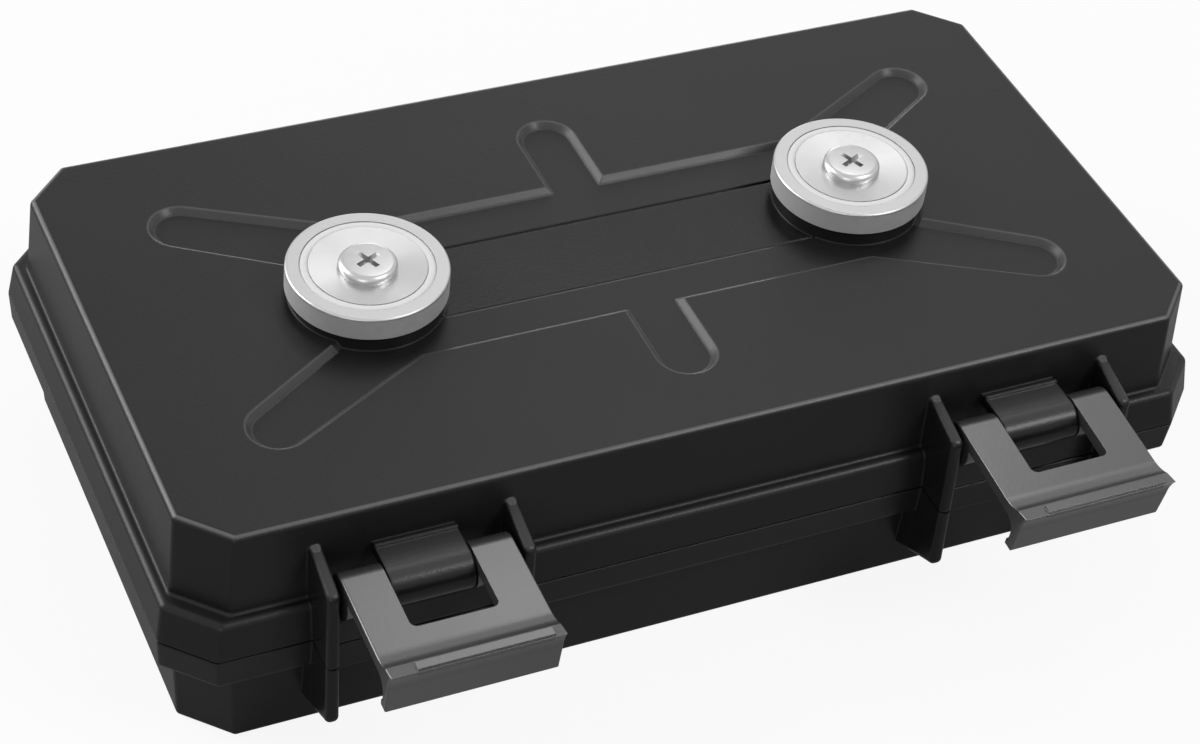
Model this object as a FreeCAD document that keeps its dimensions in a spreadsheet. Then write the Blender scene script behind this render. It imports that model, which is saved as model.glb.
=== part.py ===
import FreeCAD
import Part
import Sketcher
import os
from FreeCAD import Placement, Rotation, Vector

# Magnetic key holder box: a hinged two-shell plastic case with two snap latches on
# its front and two pot magnets screwed to its lid.
# Frame: X along the long side, Y from the latches to the hinges, Z up.
# Origin: middle of the base's flat underside.  All sizes in millimetres.

doc = FreeCAD.newDocument("MagneticKeyBox")
sheet = doc.addObject("Spreadsheet::Sheet", "Sizes")

# ---------------------------------------------------------------- driving sizes
SIZES = [
    # outer shells
    ("lid_half_length", 83.0, "half length of the lid's flat top"),
    ("lid_half_width", 43.1, "half width of the lid's flat top"),
    ("corner_cut", 6.8, "leg of the cut across each plan corner"),
    ("lid_top_z", 42.4, "height of the lid's flat top"),
    ("flange_top_z", 28.1, "height of the lid's flange"),
    ("seam_z", 21.6, "height of the seam between lid and base"),
    ("seam_gap", 0.4, "open gap at the seam"),
    ("rim_foot_z", 16.0, "height of the underside of the base's rim band"),
    ("block_spread", 0.8, "how much wider the lid block is at its foot"),
    ("flange_reach", 1.8, "how far the flange stands out past the block's foot"),
    ("flange_spread", 0.85, "how much wider the flange is at the seam"),
    ("rim_taper", 0.3, "how much narrower the rim band is at its foot"),
    ("body_step", 3.05, "step inwards from the rim band to the base's body"),
    ("body_taper", 1.0, "how much narrower the base's body is at its foot"),
    ("wall", 2.2, "thickness of the moulded walls"),
    ("floor_thick", 2.2, "thickness of the base's floor"),
    ("roof_thick", 2.7, "thickness of the lid's top"),
    ("edge_round", 1.0, "radius of the shells' outer edges"),
    ("flange_round", 1.2, "radius of the flange's upper edge"),
    ("foot_round", 0.5, "radius of the cove between the lid's block and its flange"),
    ("band_round", 0.8, "radius of the rim band's lower edge"),
    ("guard_edge_round", 0.8, "radius along the side guards' edges"),
    ("latch_round", 0.3, "radius along the latch plate's sides"),
    # rim seal, its groove and the lid's tongue
    ("groove_inset", 1.3, "land between the base's cavity and the seal groove"),
    ("groove_width", 2.2, "width of the seal groove"),
    ("groove_depth", 2.4, "depth of the seal groove"),
    ("seal_height", 1.7, "height of the rubber seal"),
    ("seal_clear", 0.1, "side clearance of the seal in its groove"),
    ("tongue_clear", 0.4, "clearance round the lid's tongue"),
    ("tongue_drop", 0.6, "how far the tongue stands down from the lid's rim"),
    # recess and strip in the lid's top
    ("recess_depth", 1.0, "depth of the cross-shaped recess"),
    ("recess_slope", 0.9, "chamfer that slopes the recess's sides"),
    ("recess_band_half", 14.7, "half width of the recess's middle band"),
    ("arm_end_x", 63.1, "centre of each arm's round end, along X"),
    ("arm_end_y", 23.4, "centre of each arm's round end, along Y"),
    ("arm_end_radius", 3.95, "radius of the arm's round end"),
    ("arm_inner_lean", 32.0, "angle from X to the arm's inner side"),
    ("arm_outer_lean", 27.7, "angle from X to the arm's outer side"),
    ("tab_half", 4.0, "half width of the tab across the band"),
    ("tab_reach", 31.0, "reach of the tab from the middle"),
    ("strip_half_width", 7.3, "half width of the lowered strip between the magnets"),
    ("strip_depth", 0.1, "extra depth of the strip"),
    ("strip_groove", 0.4, "width of the groove along each side of the strip"),
    ("strip_groove_depth", 0.4, "depth of that groove"),
    # magnets and their fixings
    ("magnet_x", 41.1, "distance of each magnet from the middle"),
    ("cup_radius", 12.5, "outer radius of the steel cup"),
    ("cup_height", 3.9, "height of the steel cup"),
    ("cup_bore", 10.35, "inner radius of the steel cup"),
    ("cup_floor", 1.0, "thickness of the cup's floor"),
    ("cup_round", 0.4, "radius of the cup's outer upper edge"),
    ("core_radius", 9.0, "outer radius of the ring magnet"),
    ("core_dish", 0.35, "how far the magnet's face dips towards the screw"),
    ("seat_radius", 12.0, "radius of the raised seat under each magnet"),
    ("seat_rise", 1.7, "height of the seat above the lid's flat top"),
    ("screw_radius", 2.0, "radius of the M4 screw's shank"),
    ("screw_clear", 0.2, "radial clearance of the screw's holes"),
    ("head_radius", 4.55, "radius of the pan head"),
    ("head_height", 1.45, "height of the pan head"),
    ("head_round", 0.6, "radius of the pan head's edge"),
    ("cross_span", 4.0, "span of the cross recess in the head"),
    ("cross_slot", 0.75, "width of the cross recess's slots"),
    ("cross_depth", 1.2, "depth of the cross recess"),
    ("cross_turn", 25.0, "turn of the cross recess about the screw"),
    ("gasket_radius", 5.0, "outer radius of the rubber gasket under the cup"),
    ("gasket_thick", 1.0, "thickness of the rubber gasket"),
    ("boss_radius", 6.5, "radius of the boss round the screw inside the lid"),
    ("boss_drop", 1.8, "how far that boss stands down from the lid's inner top"),
    ("washer_radius", 4.5, "outer radius of the steel washer"),
    ("washer_thick", 0.8, "thickness of the steel washer"),
    ("nut_flats", 7.0, "width across the flats of the M4 nut"),
    ("nut_thick", 3.2, "thickness of the M4 nut"),
    ("screw_tip", 1.0, "length of screw past the nut"),
    # latches
    ("latch_inset", 33.26, "each latch's middle in from the end of the lid"),
    ("pivot_reach", 5.3, "latch's pivot out from the foot of the lid block"),
    ("pivot_z", 32.5, "height of the latch's pivot"),
    ("latch_width", 26.1, "width of the latch plate"),
    ("latch_turn_left", 87.5, "how far the left latch is swung open from closed"),
    ("latch_turn_right", 84.0, "how far the right latch is swung open from closed"),
    ("plate_face", 3.4, "distance of the plate's outer face from the pivot"),
    ("plate_thick", 2.2, "thickness of the latch plate"),
    ("plate_end", 14.0, "pivot to the bend at the plate's lower end"),
    ("window_half", 6.6, "half width of the latch's window"),
    ("window_end", 11.0, "pivot to the window's lower edge"),
    ("window_round", 1.1, "radius of the window's corners"),
    ("lip_start", 17.5, "pivot to the crest of the flared lip"),
    ("lip_tip", 19.9, "pivot to the lip's tip"),
    ("lip_rise", 1.0, "how far the lip's crest stands out past the plate"),
    ("lip_flare", 0.55, "how much further out the lip's tip stands"),
    ("lip_bend", 6.5, "radius of the flare between plate and lip"),
    ("grip_rise", 0.7, "height of the grip rib over the lip's crest"),
    ("grip_width", 1.4, "width of the grip rib"),
    ("grip_inset", 0.6, "lip's crest to the near side of the grip rib"),
    ("grip_left", 4.1, "plate's left side to the end of the grip rib"),
    ("grip_right", 1.8, "plate's right side to the other end of the grip rib"),
    ("leg_foot", 18.6, "pivot to the underside of the catch leg"),
    ("leg_top", 17.3, "pivot to the upper side of the catch leg"),
    ("leg_reach", 3.7, "how far the catch leg reaches in past the pivot"),
    ("bead_rise", 0.4, "height of the bead on the catch leg's end"),
    ("bead_width", 1.0, "width of that bead"),
    ("leg_hollow", 7.5, "radius of the hollow in the lip's lower face"),
    # snap hook that carries the latch
    ("bar_radius", 1.6, "radius of the latch's bar"),
    ("bar_clear", 0.08, "radial running clearance of the bar in its hook"),
    ("hook_radius", 3.3, "outer radius of the snap hook"),
    ("hook_half", 6.3, "half width of the snap hook"),
    ("hook_wrap", 52.0, "how far the hook reaches past the bottom of the bar"),
    ("hook_ridge", 0.4, "height of the ridge across the hook's root"),
    ("ridge_width", 0.6, "width of that ridge"),
    # side guards beside the latches
    ("guard_thick", 2.05, "thickness of a side guard"),
    ("guard_clear", 0.75, "side clearance between latch and guard"),
    ("guard_reach", 8.1, "front of the guard's top out from the foot of the lid block"),
    ("guard_lean", 1.4, "how much further out the guard is at its foot"),
    ("guard_top_z", 35.4, "height of the guard's front corner"),
    ("guard_root_z", 38.2, "height where the guard meets the lid block"),
    ("guard_foot_z", 10.9, "height of the guard's lower front corner"),
    ("guard_heel_z", 5.6, "height where the guard meets the base's body"),
    ("guard_round", 1.0, "radius of the guard's corners"),
    # catch on the base
    ("catch_reach", 1.85, "front face of the catch out past the seam"),
    ("catch_clear", 0.35, "gap between the closed leg's bead and the catch"),
    ("catch_lead", 0.6, "lead-in chamfer of the catch"),
    ("root_depth", 1.0, "how far guards, catches and hooks run into the walls"),
    # rear hinges
    ("knuckle_radius", 3.0, "outer radius of the hinge knuckles"),
    ("knuckle_clear", 0.4, "clearance between knuckles and shells"),
    ("knuckle_half", 7.0, "half width of the lid's knuckle"),
    ("knuckle_side", 6.5, "width of each of the base's knuckles"),
    ("knuckle_gap", 0.35, "side gap between knuckles"),
    ("hinge_pin_radius", 1.25, "radius of the hinge pin"),
    ("hinge_pin_clear", 0.06, "radial running clearance of the pin in the lid"),
]


def fill_sheet():
    for row, (alias, value, meaning) in enumerate(SIZES, start=1):
        sheet.set("A%d" % row, meaning)
        sheet.set("B%d" % row, str(value))
        sheet.setAlias("B%d" % row, alias)
    doc.recompute()


class Cells:
    """Gives each driving size as the text of a reference to its cell."""

    def __getattr__(self, alias):
        return "Sizes." + alias


c = Cells()


def plus(*terms):
    return "(" + " + ".join(terms) + ")"


def minus(first, *terms):
    return "(" + " - ".join((first,) + terms) + ")"


def neg(term):
    return "(0 - " + term + ")"


def times(first, second):
    return "(" + first + " * " + second + ")"


def halved(term):
    return "(" + term + " / 2)"


def value_of(expression):
    result = sheet.evalExpression(expression)
    return float(getattr(result, "Value", result))


# ---------------------------------------------------------------- derived sizes
FOOT_X = plus(c.lid_half_length, c.block_spread)
FOOT_Y = plus(c.lid_half_width, c.block_spread)
FLANGE_X = plus(FOOT_X, c.flange_reach)
FLANGE_Y = plus(FOOT_Y, c.flange_reach)
SEAM_X = plus(FLANGE_X, c.flange_spread)
SEAM_Y = plus(FLANGE_Y, c.flange_spread)
BODY_X = minus(SEAM_X, c.body_step)
BODY_Y = minus(SEAM_Y, c.body_step)
LID_RIM_Z = plus(c.seam_z, halved(c.seam_gap))
BASE_RIM_Z = minus(c.seam_z, halved(c.seam_gap))
RECESS_Z = minus(c.lid_top_z, c.recess_depth)
SEAT_Z = plus(c.lid_top_z, c.seat_rise)
ROOF_Z = minus(c.lid_top_z, c.roof_thick)
BOSS_Z = minus(ROOF_Z, c.boss_drop)
CUP_TOP_Z = plus(SEAT_Z, c.cup_height)
GROOVE_X = plus(BODY_X, neg(c.wall), c.groove_inset)
GROOVE_Y = plus(BODY_Y, neg(c.wall), c.groove_inset)
GROOVE_Z = minus(BASE_RIM_Z, c.groove_depth)
LATCH_X = minus(c.lid_half_length, c.latch_inset)
PIVOT_Y = plus(FOOT_Y, c.pivot_reach)
GUARD_FACE = plus(FOOT_Y, c.guard_reach)
CATCH_FACE = plus(SEAM_Y, c.catch_reach)
GUARD_IN = plus(halved(c.latch_width), c.guard_clear)
GUARD_OUT = plus(GUARD_IN, c.guard_thick)
CATCH_Z = plus(c.pivot_z, neg(c.leg_top), c.bead_rise, c.catch_clear)
HINGE_Y = plus(SEAM_Y, c.knuckle_radius, c.knuckle_clear)
HINGE_IN = plus(c.knuckle_half, c.knuckle_gap)
HINGE_OUT = plus(HINGE_IN, c.knuckle_side)


# ---------------------------------------------------------------- sketch helpers
def new_body(label):
    body = doc.addObject("PartDesign::Body", label)
    body.Label = label
    return body


def origin_plane(body, role):
    return [item for item in body.Origin.OriginFeatures if item.Role == role][0]


def new_sketch(body, name, role="XY_Plane", shift="0"):
    """A sketch on one of the body's own planes, moved along that plane's normal."""
    sketch = body.newObject("Sketcher::SketchObject", name)
    sketch.AttachmentSupport = [(origin_plane(body, role), "")]
    sketch.MapMode = "FlatFace"
    sketch.setExpression("AttachmentOffset.Base.z", shift + " * 1mm")
    return sketch


def pin_point(sketch, geometry, end, x, y):
    """Fixes a point of the sketch at a place given by two expressions."""
    for kind, place in (("DistanceX", x), ("DistanceY", y)):
        datum = Sketcher.Constraint(kind, -1, 1, geometry, end, value_of(place))
        index = sketch.addConstraint(datum)
        sketch.setExpression("Constraints[%d]" % index, place)


def bulge_middle(start, finish, radius, side):
    """The middle of the arc of this radius; side says which way it bulges."""
    chord = finish - start
    half = chord.Length / 2
    rise = radius - (max(radius ** 2 - half ** 2, 0)) ** 0.5
    across = Vector(chord.y, -chord.x, 0).normalize()
    return (start + finish) * 0.5 + across * rise * side


def add_outline(sketch, points, arcs=None):
    """A closed outline through points given as expressions.

    arcs maps the number of a side to its radius and the way it bulges: +1 to the
    right of the way of travel, -1 to the left.
    """
    arcs = arcs or {}
    corners = [Vector(value_of(x), value_of(y), 0) for x, y in points]
    count = len(points)
    first = sketch.GeometryCount
    for side in range(count):
        start, finish = corners[side], corners[(side + 1) % count]
        if side in arcs:
            radius, bulge = arcs[side]
            middle = bulge_middle(start, finish, value_of(radius), bulge)
            ends = (start, finish) if bulge > 0 else (finish, start)
            sketch.addGeometry(Part.Arc(ends[0], middle, ends[1]))
        else:
            sketch.addGeometry(Part.LineSegment(start, finish))

    def ends_of(side):
        """Numbers of the side's two ends: an arc is kept counterclockwise."""
        backwards = side in arcs and arcs[side][1] < 0
        return (2, 1) if backwards else (1, 2)

    for side in range(count):
        following = (side + 1) % count
        meet = Sketcher.Constraint(
            "Coincident", first + side, ends_of(side)[1], first + following, ends_of(following)[0])
        sketch.addConstraint(meet)
        pin_point(sketch, first + side, ends_of(side)[0], *points[side])
        if side in arcs:
            radius = arcs[side][0]
            datum = Sketcher.Constraint("Radius", first + side, value_of(radius))
            index = sketch.addConstraint(datum)
            sketch.setExpression("Constraints[%d]" % index, radius)
    return sketch


def add_circle(sketch, x, y, radius):
    place = Vector(value_of(x), value_of(y), 0)
    circle = Part.Circle(place, Vector(0, 0, 1), value_of(radius))
    number = sketch.addGeometry(circle)
    pin_point(sketch, number, 3, x, y)
    index = sketch.addConstraint(Sketcher.Constraint("Radius", number, value_of(radius)))
    sketch.setExpression("Constraints[%d]" % index, radius)
    return sketch


def cut_corner(shrink="0"):
    """Leg of the corner cut on an outline drawn this much inside the outer one."""
    return minus(c.corner_cut, times(shrink, "(2 - sqrt(2))"))


def octagon(half_x, half_y, cut):
    """The box's plan: a rectangle with its four corners cut off."""
    near_x, near_y = minus(half_x, cut), minus(half_y, cut)
    return [
        (near_x, neg(half_y)), (half_x, neg(near_y)),
        (half_x, near_y), (near_x, half_y),
        (neg(near_x), half_y), (neg(half_x), near_y),
        (neg(half_x), neg(near_y)), (neg(near_x), neg(half_y)),
    ]


# ---------------------------------------------------------------- feature helpers
def loft(body, name, kind, lower, upper):
    """A straight-sided loft between two plans, each (half_x, half_y, cut, height)."""
    sketches = []
    for level, (half_x, half_y, cut, height) in (("Lower", lower), ("Upper", upper)):
        sketch = new_sketch(body, name + level, "XY_Plane", height)
        sketches.append(add_outline(sketch, octagon(half_x, half_y, cut)))
    feature = body.newObject("PartDesign::" + kind, name)
    feature.Profile = sketches[0]
    feature.Sections = [sketches[1]]
    feature.Ruled = True
    return feature


def pad(body, name, sketch, length, middle=False, back=False):
    feature = body.newObject("PartDesign::Pad", name)
    feature.Profile = sketch
    feature.setExpression("Length", length)
    feature.Midplane = middle
    feature.Reversed = back
    return feature


def pocket(body, name, sketch, length, middle=False, back=False):
    feature = body.newObject("PartDesign::Pocket", name)
    feature.Profile = sketch
    feature.setExpression("Length", length)
    feature.Midplane = middle
    feature.Reversed = back
    return feature


def side_pad(body, name, points, centre_x, width, arcs=None):
    """A profile drawn in the YZ plane and padded both ways along X."""
    sketch = new_sketch(body, name + "Profile", "YZ_Plane", centre_x)
    add_outline(sketch, points, arcs)
    return pad(body, name, sketch, width, middle=True)


def mirror_left_to_right(body, features):
    mirrored = body.newObject("PartDesign::Mirrored", body.Label + "_right_side")
    mirrored.Originals = features
    mirrored.MirrorPlane = (origin_plane(body, "YZ_Plane"), [""])
    body.Tip = mirrored
    doc.recompute()
    return mirrored


def round_guards(body, base):
    """Rounds the long edges of the four side guards, front and top or bottom."""
    faces = [
        value_of(LATCH_X) + side * value_of(edge)
        for side in (1, -1) for edge in (GUARD_IN, GUARD_OUT)
    ]
    front = value_of(CATCH_FACE) + value_of(c.catch_lead)
    seam = value_of(c.seam_z)
    slack = value_of(c.seam_gap)

    def on_guard(points):
        lengthwise = all(any(near(abs(point.x), face) for face in faces) for point in points)
        same_side = near(points[0].x, points[-1].x)
        in_front = any(-point.y > front for point in points)
        at_seam = all(abs(point.z - seam) < slack for point in points)
        return lengthwise and same_side and in_front and not at_seam

    rounded = round_edges(body, "RoundedGuards", base, on_guard, c.guard_edge_round)
    body.Tip = rounded


def edges_where(feature, test):
    """Names of the feature's edges whose end points pass the test."""
    names = []
    for number, edge in enumerate(feature.Shape.Edges, start=1):
        if test([vertex.Point for vertex in edge.Vertexes]):
            names.append("Edge%d" % number)
    return names


def round_edges(body, name, base, test, radius):
    doc.recompute()
    names = edges_where(base, test)
    feature = body.newObject("PartDesign::Fillet", name)
    feature.Base = (base, names)
    feature.setExpression("Radius", radius)
    doc.recompute()
    return feature


def chamfer_edges(body, name, base, names, size):
    feature = body.newObject("PartDesign::Chamfer", name)
    feature.Base = (base, names)
    feature.setExpression("Size", size)
    doc.recompute()
    return feature


def revolve(body, name, points, axis_x, arcs=None):
    """A profile drawn in the XZ plane beside the axis and turned right round.

    The body stands at the axis, so the profile's x is the distance from it.
    """
    body.setExpression("Placement.Base.x", axis_x)
    sketch = new_sketch(body, name + "Profile", "XZ_Plane")
    add_outline(sketch, points, arcs)
    feature = body.newObject("PartDesign::Revolution", name)
    feature.Profile = sketch
    feature.ReferenceAxis = (sketch, ["V_Axis"])
    feature.Angle = 360
    return feature


def near(number, target, slack=0.02):
    return abs(number - target) < slack


def touches_level(height):
    """Test for edges with an end at this height."""
    level = value_of(height)
    return lambda points: any(near(point.z, level) for point in points)


def on_outline(across, along):
    """Test for edges whose ends all lie at one of these half lengths or half widths."""
    half_x = [value_of(size) for size in across]
    half_y = [value_of(size) for size in along]

    def test(points):
        return all(
            any(near(abs(point.x), size) for size in half_x)
            or any(near(abs(point.y), size) for size in half_y)
            for point in points)
    return test


# ---------------------------------------------------------------- base shell
def guard_profile_base():
    """Lower part of a side guard: a fin that runs down into the base's body."""
    root = minus(BODY_Y, c.root_depth)
    foot_face = plus(GUARD_FACE, c.guard_lean)
    seam_share = "((Sizes.guard_top_z - Sizes.seam_z) / (Sizes.guard_top_z - Sizes.guard_foot_z))"
    seam_face = plus(GUARD_FACE, times(c.guard_lean, seam_share))
    heel = minus(foot_face, c.guard_round)
    slope = "((Sizes.guard_foot_z - Sizes.guard_heel_z) / (%s - %s))" % (foot_face, root)
    heel_z = minus(c.guard_foot_z, times(c.guard_round, slope))
    return [
        (neg(root), BASE_RIM_Z), (neg(root), c.guard_heel_z),
        (neg(heel), heel_z), (neg(foot_face), plus(c.guard_foot_z, c.guard_round)),
        (neg(seam_face), BASE_RIM_Z),
    ], {2: (times(c.guard_round, "1.3"), -1)}


def make_base_shell():
    body = new_body("base_shell")
    cut = cut_corner()
    hull = loft(
        body, "BaseBody", "AdditiveLoft",
        (minus(BODY_X, c.body_taper), minus(BODY_Y, c.body_taper), cut, "0"),
        (BODY_X, BODY_Y, cut, c.rim_foot_z))
    band = loft(
        body, "RimBand", "AdditiveLoft",
        (minus(SEAM_X, c.rim_taper), minus(SEAM_Y, c.rim_taper), cut, c.rim_foot_z),
        (SEAM_X, SEAM_Y, cut, BASE_RIM_Z))
    doc.recompute()
    rounded = round_edges(body, "RoundedBody", band, touches_level("0"), c.edge_round)
    on_band = on_outline((SEAM_X, minus(SEAM_X, c.rim_taper)), (SEAM_Y, minus(SEAM_Y, c.rim_taper)))
    at_band_foot = touches_level(c.rim_foot_z)
    round_edges(
        body, "RoundedBand", rounded,
        lambda points: on_band(points) and at_band_foot(points), c.band_round)
    inner_cut = cut_corner(c.wall)
    cavity = loft(
        body, "Cavity", "SubtractiveLoft",
        (minus(BODY_X, c.body_taper, c.wall), minus(BODY_Y, c.body_taper, c.wall),
         inner_cut, c.floor_thick),
        (minus(BODY_X, c.wall), minus(BODY_Y, c.wall), inner_cut, BASE_RIM_Z))
    left = neg(LATCH_X)
    root = neg(minus(BODY_Y, c.root_depth))
    catch_points = [
        (root, BASE_RIM_Z), (root, CATCH_Z),
        (neg(minus(CATCH_FACE, c.catch_lead)), CATCH_Z),
        (neg(CATCH_FACE), plus(CATCH_Z, c.catch_lead)), (neg(CATCH_FACE), BASE_RIM_Z),
    ]
    mirrored = [side_pad(body, "Catch", catch_points, left, times("2", GUARD_IN))]
    points, arcs = guard_profile_base()
    for side, sign in (("Outer", "-1"), ("Inner", "1")):
        middle = plus(left, times(sign, halved(plus(GUARD_IN, GUARD_OUT))))
        mirrored.append(side_pad(body, side + "Guard", points, middle, c.guard_thick, arcs))

    arm_foot = minus(c.seam_z, c.knuckle_radius)
    arm_top = minus(BASE_RIM_Z, halved(c.knuckle_clear))
    arm_root = minus(SEAM_Y, c.root_depth)
    arm_points = [(arm_root, arm_foot), (HINGE_Y, arm_foot), (HINGE_Y, arm_top), (arm_root, arm_top)]
    for side, sign in (("Outer", "-1"), ("Inner", "1")):
        middle = plus(left, times(sign, halved(plus(HINGE_IN, HINGE_OUT))))
        mirrored.append(side_pad(body, side + "HingeArm", arm_points, middle, c.knuckle_side))
        eye = new_sketch(body, side + "KnuckleCircle", "YZ_Plane", middle)
        add_circle(eye, HINGE_Y, c.seam_z, c.knuckle_radius)
        mirrored.append(pad(body, side + "Knuckle", eye, c.knuckle_side, middle=True))
    bore = new_sketch(body, "HingePinBoreCircle", "YZ_Plane", left)
    add_circle(bore, HINGE_Y, c.seam_z, c.hinge_pin_radius)
    mirrored.append(pocket(body, "HingePinBore", bore, times("2", HINGE_OUT), middle=True))
    mirror_left_to_right(body, mirrored)

    ring = new_sketch(body, "SealGrooveRing", "XY_Plane", BASE_RIM_Z)
    groove_cut = cut_corner(minus(c.wall, c.groove_inset))
    add_outline(ring, octagon(GROOVE_X, GROOVE_Y, groove_cut))
    outer_cut = cut_corner(minus(c.wall, c.groove_inset, c.groove_width))
    add_outline(ring, octagon(plus(GROOVE_X, c.groove_width), plus(GROOVE_Y, c.groove_width),
                              outer_cut))
    grooved = pocket(body, "SealGroove", ring, c.groove_depth)
    round_guards(body, grooved)
    return body


# ---------------------------------------------------------------- lid shell
def recess_outline():
    """The cross-shaped recess: a band with a tab each way and four tapering arms."""
    inner_x = plus(c.arm_end_x, times(c.arm_end_radius, "sin(Sizes.arm_inner_lean * 1deg)"))
    inner_y = minus(c.arm_end_y, times(c.arm_end_radius, "cos(Sizes.arm_inner_lean * 1deg)"))
    outer_x = minus(c.arm_end_x, times(c.arm_end_radius, "sin(Sizes.arm_outer_lean * 1deg)"))
    outer_y = plus(c.arm_end_y, times(c.arm_end_radius, "cos(Sizes.arm_outer_lean * 1deg)"))
    notch_x = "(%s - %s / tan(Sizes.arm_inner_lean * 1deg))" % (inner_x, inner_y)
    rise = minus(outer_y, c.recess_band_half)
    shoulder_x = "(%s - %s / tan(Sizes.arm_outer_lean * 1deg))" % (outer_x, rise)
    quarter = [
        (notch_x, "0"), (inner_x, inner_y), (outer_x, outer_y),
        (shoulder_x, c.recess_band_half), (c.tab_half, c.recess_band_half),
        (c.tab_half, minus(c.tab_reach, c.tab_half)),
    ]
    flip_x = [(neg(x), y) for x, y in quarter]
    flip_y = [(x, neg(y)) for x, y in quarter]
    flip_both = [(neg(x), neg(y)) for x, y in quarter]
    outline = quarter + [("0", c.tab_reach)] + flip_x[::-1]
    outline += flip_both[1:] + [("0", neg(c.tab_reach))] + flip_y[:0:-1]
    arm, tab = (c.arm_end_radius, 1), (c.tab_half, 1)
    arcs = {side: arm for side in (1, 10, 13, 22)}
    arcs.update({side: tab for side in (5, 6, 17, 18)})
    return outline, arcs


def hook_profile():
    """The snap hook: a slab from the lid's wall that curls round the latch's bar."""
    inner = plus(c.bar_radius, c.bar_clear)
    wrap_sin = "sin(Sizes.hook_wrap * 1deg)"
    wrap_cos = "cos(Sizes.hook_wrap * 1deg)"
    root = neg(minus(c.lid_half_width, c.root_depth))
    pivot = neg(PIVOT_Y)
    mouth = [
        (plus(pivot, times(reach, wrap_sin)), minus(c.pivot_z, times(reach, wrap_cos)))
        for reach in (c.hook_radius, inner)
    ]
    points = [
        (root, plus(c.pivot_z, c.hook_radius)), (pivot, plus(c.pivot_z, c.hook_radius)),
        (minus(pivot, c.hook_radius), c.pivot_z), mouth[0],
        mouth[1], (minus(pivot, inner), c.pivot_z),
        (pivot, plus(c.pivot_z, inner)), (root, plus(c.pivot_z, inner)),
    ]
    outside, inside = (c.hook_radius, 1), (inner, -1)
    return points, {1: outside, 2: outside, 4: inside, 5: inside}


def guard_profile_lid():
    """Upper part of a side guard: it slopes down and out from the lid block."""
    root = minus(c.lid_half_width, c.root_depth)
    seam_share = "((Sizes.guard_top_z - Sizes.seam_z) / (Sizes.guard_top_z - Sizes.guard_foot_z))"
    seam_face = plus(GUARD_FACE, times(c.guard_lean, seam_share))
    slope = "((Sizes.guard_root_z - Sizes.guard_top_z) / (%s - %s))" % (GUARD_FACE, root)
    brow_z = plus(c.guard_top_z, times(c.guard_round, slope))
    return [
        (neg(root), c.guard_root_z), (neg(root), LID_RIM_Z), (neg(seam_face), LID_RIM_Z),
        (neg(GUARD_FACE), minus(c.guard_top_z, c.guard_round)),
        (neg(minus(GUARD_FACE, c.guard_round)), brow_z),
    ], {3: (times(c.guard_round, "1.2"), -1)}


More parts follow.
